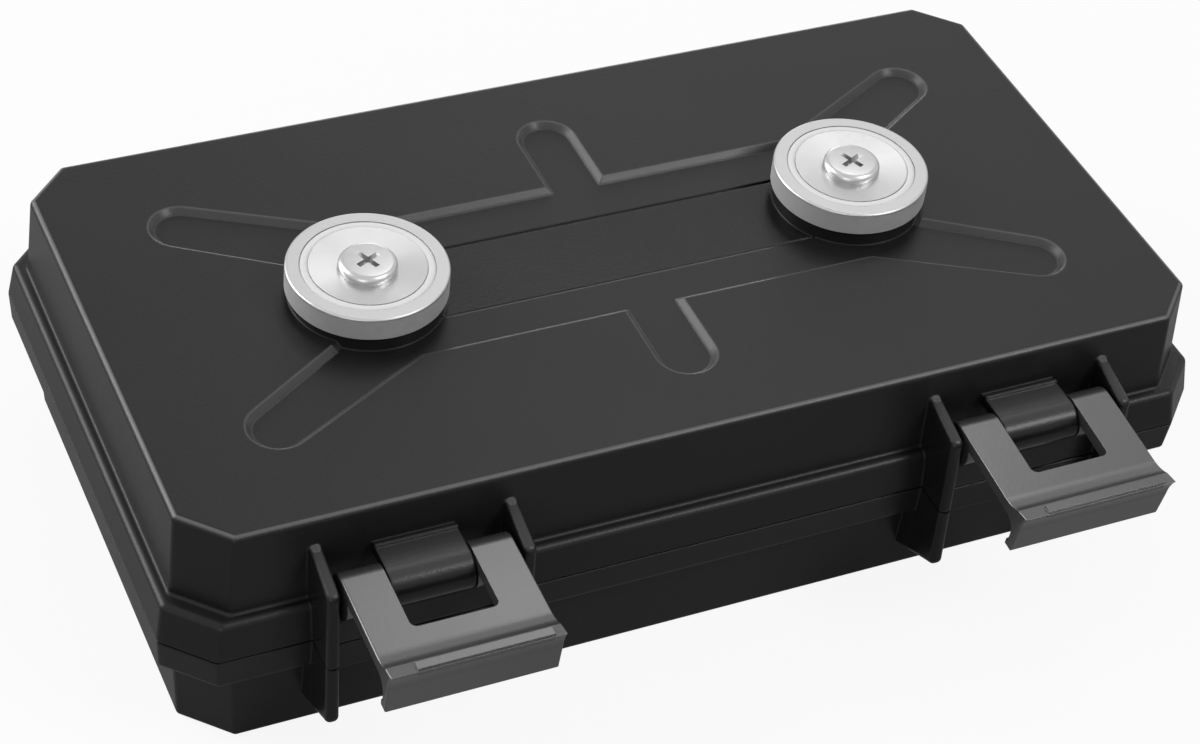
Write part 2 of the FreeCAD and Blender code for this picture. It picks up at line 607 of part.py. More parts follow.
def make_lid_shell():
    body = new_body("lid_shell")
    cut = cut_corner()
    flange = loft(
        body, "Flange", "AdditiveLoft",
        (SEAM_X, SEAM_Y, cut, LID_RIM_Z), (FLANGE_X, FLANGE_Y, cut, c.flange_top_z))
    block = loft(
        body, "Block", "AdditiveLoft",
        (FOOT_X, FOOT_Y, cut, c.flange_top_z),
        (c.lid_half_length, c.lid_half_width, cut, c.lid_top_z))
    doc.recompute()
    on_flange = on_outline((FLANGE_X, SEAM_X), (FLANGE_Y, SEAM_Y))
    at_flange_top = touches_level(c.flange_top_z)
    rounded = round_edges(
        body, "RoundedFlange", block,
        lambda points: on_flange(points) and at_flange_top(points), c.flange_round)
    rounded = round_edges(body, "RoundedBlock", rounded, touches_level(c.lid_top_z), c.edge_round)
    at_block_foot = on_outline((FOOT_X,), (FOOT_Y,))
    round_edges(
        body, "FootCove", rounded,
        lambda points: at_block_foot(points)
        and all(near(point.z, value_of(c.flange_top_z)) for point in points), c.foot_round)

    inner_cut = cut_corner(c.wall)
    loft(
        body, "Cavity", "SubtractiveLoft",
        (minus(FOOT_X, c.wall), minus(FOOT_Y, c.wall), inner_cut, LID_RIM_Z),
        (minus(c.lid_half_length, c.wall), minus(c.lid_half_width, c.wall), inner_cut, ROOF_Z))

    tongue = new_sketch(body, "TongueRing", "XY_Plane", LID_RIM_Z)
    for inset in (c.tongue_clear, minus(c.groove_width, c.tongue_clear)):
        ring_cut = cut_corner(minus(c.wall, c.groove_inset, inset))
        add_outline(tongue, octagon(plus(GROOVE_X, inset), plus(GROOVE_Y, inset), ring_cut))
    pad(body, "Tongue", tongue, c.tongue_drop, back=True)

    recess = new_sketch(body, "RecessOutline", "XY_Plane", c.lid_top_z)
    points, arcs = recess_outline()
    add_outline(recess, points, arcs)
    hollow = pocket(body, "Recess", recess, c.recess_depth)
    doc.recompute()
    lid_top = value_of(c.lid_top_z)
    arm_tip = value_of(plus(c.arm_end_x, c.arm_end_radius, c.recess_slope))
    tab_tip = value_of(plus(c.tab_reach, c.tab_half))

    def on_recess_rim(points):
        return all(
            near(point.z, lid_top) and abs(point.x) < arm_tip and abs(point.y) < tab_tip
            for point in points)

    rim = edges_where(hollow, on_recess_rim)
    chamfer_edges(body, "RecessSlope", hollow, rim, c.recess_slope)
    half = c.strip_half_width
    groove_side = plus(half, c.strip_groove)
    span = minus(c.magnet_x, c.screw_radius)
    strip = new_sketch(body, "StripOutline", "XY_Plane", RECESS_Z)
    add_outline(strip, [(neg(span), neg(half)), (span, neg(half)), (span, half), (neg(span), half)])
    pocket(body, "Strip", strip, c.strip_depth)
    grooves = new_sketch(body, "StripGrooves", "XY_Plane", RECESS_Z)
    for low, high in ((half, groove_side), (neg(groove_side), neg(half))):
        add_outline(grooves, [(neg(span), low), (span, low), (span, high), (neg(span), high)])
    pocket(body, "StripGroovePair", grooves, c.strip_groove_depth)

    left = neg(LATCH_X)
    magnet = neg(c.magnet_x)
    mirrored = []
    seat = new_sketch(body, "SeatCircle", "XY_Plane", minus(RECESS_Z, c.recess_depth))
    add_circle(seat, magnet, "0", c.seat_radius)
    mirrored.append(pad(body, "MagnetSeat", seat, minus(SEAT_Z, RECESS_Z, neg(c.recess_depth))))
    boss = new_sketch(body, "BossCircle", "XY_Plane", BOSS_Z)
    add_circle(boss, magnet, "0", c.boss_radius)
    mirrored.append(pad(body, "ScrewBoss", boss, plus(c.boss_drop, halved(c.roof_thick))))
    hole = new_sketch(body, "ScrewHoleCircle", "XY_Plane", SEAT_Z)
    add_circle(hole, magnet, "0", plus(c.screw_radius, c.screw_clear))
    mirrored.append(pocket(body, "ScrewHole", hole, plus(SEAT_Z, neg(BOSS_Z), c.wall)))
    bed = new_sketch(body, "GasketBedCircle", "XY_Plane", SEAT_Z)
    add_circle(bed, magnet, "0", c.gasket_radius)
    mirrored.append(pocket(body, "GasketBed", bed, c.gasket_thick))

    points, arcs = hook_profile()
    mirrored.append(side_pad(body, "SnapHook", points, left, times("2", c.hook_half), arcs))
    crest = neg(plus(FOOT_Y, c.edge_round))
    shelf = plus(c.pivot_z, c.hook_radius)
    ridge = plus(shelf, c.hook_ridge)
    below = minus(shelf, c.edge_round)
    ridge_back = plus(crest, c.ridge_width)
    mirrored.append(side_pad(
        body, "HookRidge",
        [(ridge_back, below), (crest, below), (crest, ridge), (ridge_back, ridge)],
        left, times("2", c.hook_half)))
    points, arcs = guard_profile_lid()
    for side, sign in (("Outer", "-1"), ("Inner", "1")):
        middle = plus(left, times(sign, halved(plus(GUARD_IN, GUARD_OUT))))
        mirrored.append(side_pad(body, side + "Guard", points, middle, c.guard_thick, arcs))
    apron_root = neg(minus(FOOT_Y, c.root_depth))
    apron_top = minus(c.flange_top_z, c.flange_round)
    apron = [
        (apron_root, LID_RIM_Z), (neg(CATCH_FACE), LID_RIM_Z),
        (neg(CATCH_FACE), minus(apron_top, c.catch_lead)),
        (neg(minus(CATCH_FACE, c.catch_lead)), apron_top), (apron_root, apron_top),
    ]
    mirrored.append(side_pad(body, "Apron", apron, left, times("2", GUARD_IN)))

    arm_root = minus(FLANGE_Y, c.root_depth)
    arm_top = plus(c.seam_z, c.knuckle_radius)
    arm_foot = plus(LID_RIM_Z, halved(c.knuckle_clear))
    arm_points = [(arm_root, arm_foot), (HINGE_Y, arm_foot), (HINGE_Y, arm_top), (arm_root, arm_top)]
    width = times("2", c.knuckle_half)
    mirrored.append(side_pad(body, "HingeArm", arm_points, left, width))
    eye = new_sketch(body, "KnuckleCircle", "YZ_Plane", left)
    add_circle(eye, HINGE_Y, c.seam_z, c.knuckle_radius)
    mirrored.append(pad(body, "Knuckle", eye, width, middle=True))
    bore = new_sketch(body, "HingePinBoreCircle", "YZ_Plane", left)
    add_circle(bore, HINGE_Y, c.seam_z, plus(c.hinge_pin_radius, c.hinge_pin_clear))
    mirrored.append(pocket(body, "HingePinBore", bore, times("2", HINGE_OUT), middle=True))
    round_guards(body, mirror_left_to_right(body, mirrored))
    return body


# ---------------------------------------------------------------- seal and hinge pins
def make_rim_seal():
    body = new_body("rim_seal")
    ring = new_sketch(body, "SealRing", "XY_Plane", GROOVE_Z)
    for inset in (c.seal_clear, minus(c.groove_width, c.seal_clear)):
        ring_cut = cut_corner(minus(c.wall, c.groove_inset, inset))
        add_outline(ring, octagon(plus(GROOVE_X, inset), plus(GROOVE_Y, inset), ring_cut))
    pad(body, "Seal", ring, c.seal_height)
    return body


def make_hinge_pin(label, side):
    pin = doc.addObject("Part::Cylinder", label)
    pin.Label = label
    pin.setExpression("Radius", c.hinge_pin_radius)
    pin.setExpression("Height", times("2", HINGE_OUT))
    pin.Placement = Placement(Vector(0, 0, 0), Rotation(Vector(0, 1, 0), 90))
    pin.setExpression("Placement.Base.x", minus(times(side, LATCH_X), HINGE_OUT))
    pin.setExpression("Placement.Base.y", HINGE_Y)
    pin.setExpression("Placement.Base.z", c.seam_z)
    return pin


# ---------------------------------------------------------------- latches
def make_latch(label, side, turn):
    body = new_body(label)
    face = neg(c.plate_face)
    back = neg(minus(c.plate_face, c.plate_thick))
    lip = minus(face, c.lip_rise)
    bead_top = neg(minus(c.leg_top, c.bead_rise))
    bead_back = minus(c.leg_reach, c.bead_width)
    under = minus(face, neg(c.plate_thick))
    points = [
        (face, "0"), (face, neg(c.plate_end)),
        (lip, neg(c.lip_start)), (minus(lip, c.lip_flare), neg(c.lip_tip)),
        (under, neg(plus(c.leg_foot, c.bead_rise))),
        (c.leg_reach, neg(c.leg_foot)), (c.leg_reach, bead_top), (bead_back, bead_top),
        (minus(bead_back, c.bead_rise), neg(c.leg_top)),
        (plus(back, c.plate_thick), neg(c.leg_top)),
        (back, neg(minus(c.leg_top, c.plate_thick))),
        (back, "(0 - sqrt(Sizes.plate_face ^ 2 - %s ^ 2))" % minus(c.plate_face, c.plate_thick)),
        (c.plate_face, "0"), ("0", c.plate_face),
    ]
    eye = (c.plate_face, 1)
    arcs = {
        1: (c.lip_bend, -1), 3: (c.leg_hollow, -1), 9: (c.plate_thick, -1),
        11: eye, 12: eye, 13: eye,
    }
    side_pad(body, "Plate", points, "0", c.latch_width, arcs)
    window = new_sketch(body, "WindowOutline", "XZ_Plane")
    half = c.window_half
    ledge = neg(c.window_end)
    bend = plus(ledge, c.window_round)
    near_side = minus(half, c.window_round)
    add_outline(window, [
        (neg(half), c.plate_end), (neg(half), bend), (neg(near_side), ledge),
        (near_side, ledge), (half, bend), (half, c.plate_end),
    ], {1: (c.window_round, 1), 3: (c.window_round, 1)})
    pocket(body, "Window", window, times("4", c.plate_face), middle=True)
    bar = new_sketch(body, "BarCircle", "YZ_Plane")
    add_circle(bar, "0", "0", c.bar_radius)
    pad(body, "Bar", bar, times("2", plus(c.window_half, c.bar_radius)), middle=True)
    crest = minus(lip, c.grip_rise)
    base = plus(lip, c.grip_rise)
    rib_start = plus(c.lip_start, c.grip_inset)
    rib_end = plus(rib_start, c.grip_width)
    grip = [
        (base, neg(rib_start)), (crest, neg(rib_start)),
        (crest, neg(rib_end)), (base, neg(rib_end)),
    ]
    finished = side_pad(
        body, "GripRib", grip, halved(minus(c.grip_left, c.grip_right)),
        minus(c.latch_width, c.grip_left, c.grip_right))
    half_width = value_of(halved(c.latch_width))

    def on_one_side(points):
        return all(near(point.x, half_width) for point in points) or all(
            near(point.x, -half_width) for point in points)

    body.Tip = round_edges(body, "RoundedPlate", finished, on_one_side, c.latch_round)
    body.Placement = Placement(Vector(0, 0, 0), Rotation(Vector(1, 0, 0), 0))
    body.setExpression("Placement.Base.x", times(side, LATCH_X))
    body.setExpression("Placement.Base.y", neg(PIVOT_Y))
    body.setExpression("Placement.Base.z", c.pivot_z)
    body.setExpression("Placement.Rotation.Axis.x", "1")
    body.setExpression("Placement.Rotation.Angle", turn + " * -1 deg")
    return body


# ---------------------------------------------------------------- magnets and fixings
def make_magnet_cup(label, axis_x):
    body = new_body(label)
    hole = plus(c.screw_radius, c.screw_clear)
    revolve(body, "Cup", [
        (hole, SEAT_Z), (c.cup_radius, SEAT_Z), (c.cup_radius, minus(CUP_TOP_Z, c.cup_round)),
        (minus(c.cup_radius, c.cup_round), CUP_TOP_Z),
        (c.cup_bore, CUP_TOP_Z), (c.cup_bore, plus(SEAT_Z, c.cup_floor)),
        (hole, plus(SEAT_Z, c.cup_floor)),
    ], axis_x, {2: (c.cup_round, 1)})
    return body


def make_magnet_filler(label, axis_x):
    body = new_body(label)
    foot = plus(SEAT_Z, c.cup_floor)
    revolve(body, "Filler", [
        (c.core_radius, foot), (c.cup_bore, foot),
        (c.cup_bore, CUP_TOP_Z), (c.core_radius, CUP_TOP_Z),
    ], axis_x)
    return body


def make_magnet_core(label, axis_x):
    body = new_body(label)
    hole = plus(c.screw_radius, c.screw_clear)
    foot = plus(SEAT_Z, c.cup_floor)
    dish = minus(CUP_TOP_Z, c.core_dish)
    revolve(body, "Core", [
        (hole, foot), (c.core_radius, foot), (c.core_radius, CUP_TOP_Z),
        (c.head_radius, dish), (hole, dish),
    ], axis_x)
    return body


def make_magnet_screw(label, axis_x):
    body = new_body(label)
    seat = minus(CUP_TOP_Z, c.core_dish)
    top = plus(seat, c.head_height)
    tip = minus(BOSS_Z, c.washer_thick, c.nut_thick, c.screw_tip)
    revolve(body, "Screw", [
        ("0", tip), (c.screw_radius, tip), (c.screw_radius, seat), (c.head_radius, seat),
        (c.head_radius, minus(top, c.head_round)), (minus(c.head_radius, c.head_round), top),
        ("0", top),
    ], axis_x, {4: (c.head_round, 1)})
    long_half, slot_half = halved(c.cross_span), halved(c.cross_slot)
    for name, half_x, half_y in (("SlotOne", long_half, slot_half), ("SlotTwo", slot_half, long_half)):
        slot = new_sketch(body, name + "Outline", "XY_Plane", top)
        slot.setExpression("AttachmentOffset.Rotation.Angle", times(c.cross_turn, "1deg"))
        add_outline(slot, [(neg(half_x), neg(half_y)), (half_x, neg(half_y)),
                           (half_x, half_y), (neg(half_x), half_y)])
        pocket(body, name, slot, c.cross_depth)
    return body


def make_ring(label, axis_x, inner, outer, foot, top):
    """A flat ring about the screw, such as a washer or a gasket."""
    body = new_body(label)
    revolve(body, "Ring", [(inner, foot), (outer, foot), (outer, top), (inner, top)], axis_x)
    return body


def make_magnet_nut(label, axis_x):
    nut = doc.addObject("Part::Prism", label + "_blank")
    nut.Polygon = 6
    nut.setExpression("Circumradius", "Sizes.nut_flats / sqrt(3)")
    nut.setExpression("Height", c.nut_thick)
    bore = doc.addObject("Part::Cylinder", label + "_bore")
    bore.setExpression("Radius", c.screw_radius)
    bore.setExpression("Height", c.nut_thick)
    foot = minus(BOSS_Z, c.washer_thick, c.nut_thick)
    for solid in (nut, bore):
        solid.setExpression("Placement.Base.x", axis_x)
        solid.setExpression("Placement.Base.z", foot)
    drilled = doc.addObject("Part::Cut", label)
    drilled.Label = label
    drilled.Base = nut
    drilled.Tool = bore
    return drilled


def make_magnet_set(side_name, side):
    axis_x = times(side, c.magnet_x)
    bore = plus(c.screw_radius, c.screw_clear)
    return [
        make_magnet_cup("magnet_cup_" + side_name, axis_x),
        make_magnet_filler("magnet_filler_" + side_name, axis_x),
        make_magnet_core("magnet_core_" + side_name, axis_x),
        make_magnet_screw("magnet_screw_" + side_name, axis_x),
        make_ring("magnet_gasket_" + side_name, axis_x, bore, c.gasket_radius,
                  minus(SEAT_Z, c.gasket_thick), SEAT_Z),
        make_ring("magnet_washer_" + side_name, axis_x, bore, c.washer_radius,
                  minus(BOSS_Z, c.washer_thick), BOSS_Z),
        make_magnet_nut("magnet_nut_" + side_name, axis_x),
    ]


# ---------------------------------------------------------------- build and write
def check_document():
    for item in doc.Objects:
        bad = [word for word in item.State if word in ("Invalid", "Error")]
        if bad:
            raise RuntimeError("%s is %s" % (item.Label, ", ".join(bad)))


def write_parts(parts):
    os.makedirs("parts", exist_ok=True)
    for part in parts:
        if part.Shape.isNull() or not part.Shape.isValid():
            raise RuntimeError("%s has no valid shape" % part.Label)
    for part in parts:
        part.Shape.exportStep("parts/%s.step" % part.Label)
        box = part.Shape.BoundBox
        print("%-22s solids %d  volume %9.1f  X %.2f..%.2f  Y %.2f..%.2f  Z %.2f..%.2f" % (
            part.Label, len(part.Shape.Solids), part.Shape.Volume,
            box.XMin, box.XMax, box.YMin, box.YMax, box.ZMin, box.ZMax))


fill_sheet()
parts = [make_base_shell(), make_lid_shell(), make_rim_seal()]
for side_name, side, turn in (
        ("left", "-1", c.latch_turn_left), ("right", "1", c.latch_turn_right)):
    parts.append(make_hinge_pin("hinge_pin_" + side_name, side))
    parts.append(make_latch("latch_" + side_name, side, turn))
    parts.extend(make_magnet_set(side_name, side))
doc.recompute()
check_document()
write_parts(parts)
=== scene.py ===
# %% [markdown]
# # A magnetic key holder box
#
# The case is a hinged plastic box with two snap latches and two pot magnets on its
# lid.  Its solids come ready made, in metres, with the origin in the middle of the
# base's underside.  This script gives them their finishes, adds the small turned and
# moulded pieces that solids leave plain, and sets up the camera and the lamps.  The
# magnets stand at the same distance on either side of the middle, each round its screw.

# %% Load the solids
import math
from collections import namedtuple

import bmesh
import bpy
from mathutils import Euler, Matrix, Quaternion, Vector


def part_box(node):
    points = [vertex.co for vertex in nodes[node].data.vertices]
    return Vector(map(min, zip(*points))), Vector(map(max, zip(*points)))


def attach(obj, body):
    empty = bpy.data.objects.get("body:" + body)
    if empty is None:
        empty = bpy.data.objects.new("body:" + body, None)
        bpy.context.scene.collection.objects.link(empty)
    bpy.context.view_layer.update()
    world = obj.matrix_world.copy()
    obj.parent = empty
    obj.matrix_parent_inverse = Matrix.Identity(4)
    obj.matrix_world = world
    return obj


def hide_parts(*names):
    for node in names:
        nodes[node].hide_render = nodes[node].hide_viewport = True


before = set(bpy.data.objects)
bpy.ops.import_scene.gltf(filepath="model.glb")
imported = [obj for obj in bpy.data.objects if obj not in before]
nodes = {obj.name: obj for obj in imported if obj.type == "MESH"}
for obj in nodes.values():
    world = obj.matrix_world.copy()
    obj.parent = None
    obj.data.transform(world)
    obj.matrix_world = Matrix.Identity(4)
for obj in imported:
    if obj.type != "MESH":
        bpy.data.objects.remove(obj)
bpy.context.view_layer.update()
MM = 0.001
SCREW_LOW, SCREW_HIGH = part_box("magnet_screw_right")
MAGNET_X = (SCREW_LOW[0] + SCREW_HIGH[0]) / 2


def new_object(name, data):
    """An object in the scene that holds the given data."""
    thing = bpy.data.objects.new(name, data)
    bpy.context.scene.collection.objects.link(thing)
    return thing


print("magnets stand", round(2 * MAGNET_X / MM, 1), "mm apart")

# %% [markdown]
# ## The camera
#
# A long lens placed high on the latch side flattens the box a little, as product
# pictures do.  The camera is turned about its own axis too, so that the box lies
# across the picture.  Three angles and a place say all of this.

# %% Camera
CAMERA_AZIMUTH = math.radians(-28.29)
CAMERA_ELEVATION = math.radians(41.975)
CAMERA_ROLL = math.radians(7.03)
CAMERA_PLACE = Vector((-0.16709, -0.31120, 0.33253))
LENS_MM = 87.63
SENSOR_MM = 36.0
CLIP_NEAR = 0.01
CLIP_FAR = 20.0


def make_camera():
    data = bpy.data.cameras.new("camera")
    data.lens = LENS_MM
    data.sensor_width = SENSOR_MM
    data.clip_start = CLIP_NEAR
    data.clip_end = CLIP_FAR
    camera = new_object("camera", data)
    level = math.cos(CAMERA_ELEVATION)
    back = Vector((
        math.sin(CAMERA_AZIMUTH) * level,
        -math.cos(CAMERA_AZIMUTH) * level,
        math.sin(CAMERA_ELEVATION)))
    facing = (-back).to_track_quat("-Z", "Y")
    camera.rotation_mode = "QUATERNION"
    camera.rotation_quaternion = facing @ Quaternion((0, 0, 1), CAMERA_ROLL)
    camera.location = CAMERA_PLACE
    bpy.context.scene.camera = camera


make_camera()
print("camera at", tuple(CAMERA_PLACE), "lens", LENS_MM, "mm")

# %% [markdown]
# ## Building materials from nodes
#
# Every finish here is a Principled shader with a few texture nodes in front of it.
# Object coordinates are in metres and the pieces sit where they belong, so a noise
# scale of 1000 gives features about a millimetre across.  A mask is a value that is
# 1 inside its area and 0 outside, so two masks multiplied give the area they share.

# %% Node helpers
BEVEL_SAMPLES = 6


def new_material(name):
    material = bpy.data.materials.new(name)
    material.use_nodes = True
    shader = material.node_tree.nodes["Principled BSDF"]
    return material, material.node_tree, shader


def add(tree, kind, **settings):
    """A new shader node, with its settings."""
    node = tree.nodes.new("ShaderNode" + kind)
    for key, value in settings.items():
        setattr(node, key, value)
    return node


def feed(tree, socket, value):
    """Links a node's output to the socket, or sets the socket to a plain value."""
    if isinstance(value, bpy.types.NodeSocket):
        tree.links.new(value, socket)
    else:
        socket.default_value = value


def object_coords(tree):
    return add(tree, "TexCoord").outputs["Object"]


def noise(tree, coords, scale, detail):
    node = add(tree, "TexNoise")
    node.inputs["Scale"].default_value = scale
    node.inputs["Detail"].default_value = detail
    tree.links.new(coords, node.inputs["Vector"])
    return node.outputs["Fac"]


def remap(tree, value, low, high, to_low, to_high):
    """Stretches the range from low to high over another range, and clamps it."""
    node = add(tree, "MapRange")
    node.inputs["From Min"].default_value = low
    node.inputs["From Max"].default_value = high
    node.inputs["To Min"].default_value = to_low
    node.inputs["To Max"].default_value = to_high
    tree.links.new(value, node.inputs["Value"])
    return node.outputs["Result"]


def maths(tree, operation, *values):
    node = add(tree, "Math", operation=operation)
    for socket, value in zip(node.inputs, values):
        feed(tree, socket, value)
    return node.outputs["Value"]


def axis_values(tree, coords):
    """The x, y and z of a place, each as its own value."""
    node = add(tree, "SeparateXYZ")
    tree.links.new(coords, node.inputs["Vector"])
    return [node.outputs[axis] for axis in "XYZ"]


def above(tree, value, edge):
    return maths(tree, "GREATER_THAN", value, edge)


def below(tree, value, edge):
    return maths(tree, "LESS_THAN", value, edge)


def both(tree, first, second):
    return maths(tree, "MULTIPLY", first, second)


def either(tree, first, second):
    return maths(tree, "MAXIMUM", first, second)


def grey(value):
    return (value, value, value, 1)


def blend_colours(tree, amount, first, second):
    node = add(tree, "Mix", data_type="RGBA")
    for name, value in (("Factor", amount), ("A", first), ("B", second)):
        feed(tree, node.inputs[name], value)
    return node.outputs["Result"]


def soft_edges(tree, radius):
    """A normal that rounds sharp edges a little, as a mould or a plating bath does."""
    node = add(tree, "Bevel", samples=BEVEL_SAMPLES)
    node.inputs["Radius"].default_value = radius
    return node.outputs["Normal"]


def bump(tree, shader, height, strength, distance, edge_radius):
    """Bump over softened edges; returns the softened normal."""
    node = add(tree, "Bump")
    softened = soft_edges(tree, edge_radius)
    tree.links.new(softened, node.inputs["Normal"])
    node.inputs["Strength"].default_value = strength
    node.inputs["Distance"].default_value = distance
    tree.links.new(height, node.inputs["Height"])
    tree.links.new(node.outputs["Normal"], shader.inputs["Normal"])
    return softened


def own_rise(tree, normal):
    """How far a surface faces up on its own piece, whichever way the piece is turned."""
    node = add(tree, "VectorTransform",
               vector_type="NORMAL", convert_from="WORLD", convert_to="OBJECT")
    tree.links.new(normal, node.inputs["Vector"])
    return axis_values(tree, node.outputs["Vector"])[2]


# %% [markdown]
# ## Moulded plastic and rubber
#
# The shells are black ABS from a spark-eroded mould: a fine grain that scatters
# light, with faint cloudy differences in gloss.  The latches come from a polished
# mould, so they are smoother and look paler in the light.  The resin and the rubber
# are built the same way from other values.  Two noises do all of it: the fine one is
# the grain, as bump and as specks of colour, and the coarse one is the clouds.

# %% Plastics
GRAIN_SCALE = 1900.0
GRAIN_DETAIL = 2.0
GRAIN_DEPTH = 0.05 * MM
CLOUD_SCALE = 45.0
CLOUD_DETAIL = 3.0
CLOUD_GLOSS = 0.02
SPECK_SHARE = 0.6
NOISE_LOW, NOISE_HIGH = 0.3, 0.7

# Darker and lighter grey, roughness, specular level, strength of the grain and
# radius of a rounded edge.
PLASTICS = {
    "shell_plastic": (0.008, 0.013, 0.35, 0.22, 0.45, 0.50 * MM),
    "latch_plastic": (0.037, 0.048, 0.25, 1.00, 0.20, 0.15 * MM),
    "filler_resin": (0.740, 0.820, 0.35, 0.50, 0.10, 0.15 * MM),
    "seal_rubber": (0.018, 0.024, 0.60, 0.50, 0.40, 0.15 * MM),
}

Finish = namedtuple("Finish", "material tree shader coords colour gloss normal")


def varied_gloss(tree, shader, value, roughness, spread):
    """Lets a noise move the roughness up and down by the spread."""
    gloss = remap(tree, value, NOISE_LOW, NOISE_HIGH, roughness - spread, roughness + spread)
    tree.links.new(gloss, shader.inputs["Roughness"])
    return gloss


def plastic(name, dark, light, roughness, specular, grain, edge):
    """Moulded plastic: grain as bump, and clouds in its colour and gloss."""
    material, tree, shader = new_material(name)
    coords = object_coords(tree)
    cloud = noise(tree, coords, CLOUD_SCALE, CLOUD_DETAIL)
    speck = noise(tree, coords, GRAIN_SCALE, GRAIN_DETAIL)
    mottle = maths(tree, "ADD", maths(tree, "MULTIPLY", speck, SPECK_SHARE),
                   maths(tree, "MULTIPLY", cloud, 1 - SPECK_SHARE))
    colour = blend_colours(tree, mottle, grey(dark), grey(light))
    tree.links.new(colour, shader.inputs["Base Color"])
    shader.inputs["Specular IOR Level"].default_value = specular
    gloss = varied_gloss(tree, shader, cloud, roughness, CLOUD_GLOSS)
    normal = bump(tree, shader, speck, grain, GRAIN_DEPTH, edge)
    return Finish(material, tree, shader, coords, colour, gloss, normal)


finishes = {name: plastic(name, *settings) for name, settings in PLASTICS.items()}
print("plastics:", ", ".join(PLASTICS))

# %% [markdown]
# ## Painted highlights and polished places on the shells
#
# One plastic covers both shells, so masks by place pick out what differs.  The hooks
# and the guards come from polished parts of the mould, and so does the strip between
# the magnets.  A mask by direction finds the rounded edges and slopes: their softened
# normal leans, and faces neither straight up nor to the side.  On the lid a paler grey
# is painted there as a highlight line, except beside the strip and next to the
# magnets.  The tops of the hooks and the guards get a weaker painted highlight.  All
# these places are made smoother as well.

# %% Painted highlights and polish
HIGHLIGHT_BOTTOM = 37.5 * MM
MAGNET_CLEARANCE = 13.0 * MM
HOOKS_BACK = -44.0 * MM
GUARDS_BACK = -46.7 * MM
FLANGE_TOP = 28.3 * MM
STRIP_HALF_WIDTH = 7.3 * MM
STRIP_CLEARANCE = 8.3 * MM
STRIP_HALF_LENGTH = 42.0 * MM
STRIP_TOP = 41.35 * MM
# The grey of the painted highlight along the lid's edges and slopes and on the hook tops.
HIGHLIGHT_GREY = 0.130
HOOK_TOP_HIGHLIGHT = 0.32
POLISH_GAIN = 0.09
STRIP_GAIN = 0.10

# The rise of a softened normal is 1 where it points straight up.  The painted highlight
# sets in over the first range of rises and ends over the second.
LEANING = (0.60, 0.86)
LEVEL = (0.955, 0.985)


def shell_masks(shell):
    """Where the hooks, all polished pieces, the strip and the lid's edges with painted highlight
    are.
    """
    tree = shell.tree
    x, y, z = axis_values(tree, shell.coords)
    from_middle_x = maths(tree, "ABSOLUTE", x)
    from_middle_y = maths(tree, "ABSOLUTE", y)
    aside = maths(tree, "SUBTRACT", from_middle_x, MAGNET_X)
    squares = maths(tree, "ADD", maths(tree, "MULTIPLY", aside, aside),
                    maths(tree, "MULTIPLY", y, y))
    away = above(tree, maths(tree, "SQRT", squares), MAGNET_CLEARANCE)
    hooks = both(tree, below(tree, y, HOOKS_BACK), above(tree, z, FLANGE_TOP))
    guards = below(tree, y, GUARDS_BACK)
    strip = both(tree, below(tree, from_middle_y, STRIP_HALF_WIDTH),
                 below(tree, from_middle_x, STRIP_HALF_LENGTH))
    sunk = both(tree, below(tree, z, STRIP_TOP), above(tree, z, FLANGE_TOP))
    beside_strip = either(tree, above(tree, from_middle_y, STRIP_CLEARANCE),
                          above(tree, from_middle_x, STRIP_HALF_LENGTH))
    highlight_edges = both(tree, both(tree, above(tree, z, HIGHLIGHT_BOTTOM), away), beside_strip)
    return hooks, either(tree, hooks, guards), both(tree, strip, sunk), highlight_edges


def paint_highlights_and_polish(shell):
    """Paints a pale highlight on the edges, slopes and hook tops, and smooths them and the
    polished places.
    """
    tree = shell.tree
    hooks, polished, strip, highlight_edges = shell_masks(shell)
    rise = own_rise(tree, shell.normal)
    edges = both(tree, remap(tree, rise, *LEANING, 0, 1), remap(tree, rise, *LEVEL, 1, 0))
    # The tops of the hooks and the guards get a weaker painted highlight.
    tops = both(tree, remap(tree, rise, *LEANING, 0, HOOK_TOP_HIGHLIGHT), hooks)
    painted_highlight = either(tree, both(tree, edges, highlight_edges), tops)
    # The paler grey mixed in here is a painted highlight.
    colour = blend_colours(tree, painted_highlight, shell.colour, grey(HIGHLIGHT_GREY))
    tree.links.new(colour, shell.shader.inputs["Base Color"])
    smooth = maths(tree, "MULTIPLY", either(tree, polished, painted_highlight), POLISH_GAIN)
    gain = maths(tree, "ADD", smooth, maths(tree, "MULTIPLY", strip, STRIP_GAIN))
    gloss = maths(tree, "SUBTRACT", shell.gloss, gain)
    tree.links.new(gloss, shell.shader.inputs["Roughness"])


paint_highlights_and_polish(finishes["shell_plastic"])
print("shell_plastic: worn above", round(HIGHLIGHT_BOTTOM / MM, 1), "mm, and polished in places")

# %% [markdown]
# ## Plated steel
#
# A fine noise stands for the marks of pressing and grinding, and moves the colour and
# the roughness a little.  The magnets' faces are turned on a lathe, so their
# highlights are drawn out round the axis.  A cup's wall is left as pressed, and is
# rougher and duller than its ground rim.

# %% Metals
SMEAR_SCALE = 900.0
SMEAR_DETAIL = 4.0
SMEAR_SHADE = 0.94
SMEAR_GLOSS = 0.04
SMEAR_STRENGTH = 0.05
SMEAR_DEPTH = 0.02 * MM
METAL_EDGE = 0.08 * MM
RIM_THICKNESS = 0.45 * MM
CUP_RIM_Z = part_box("magnet_cup_right")[1][2] - RIM_THICKNESS
WALL_ROUGHER = 0.25
WALL_DULLER = 0.3

# Colour, roughness, and how far the highlight is drawn out by turning.
METALS = {
    "cup_nickel": ((0.47, 0.47, 0.47), 0.42, 0.0),
    "core_nickel": ((0.53, 0.53, 0.53), 0.36, 0.75),
    "screw_nickel": ((0.50, 0.50, 0.50), 0.32, 0.0),
    "fixing_zinc": ((0.62, 0.63, 0.65), 0.35, 0.0),
    "pin_steel": ((0.55, 0.55, 0.57), 0.30, 0.0),
}


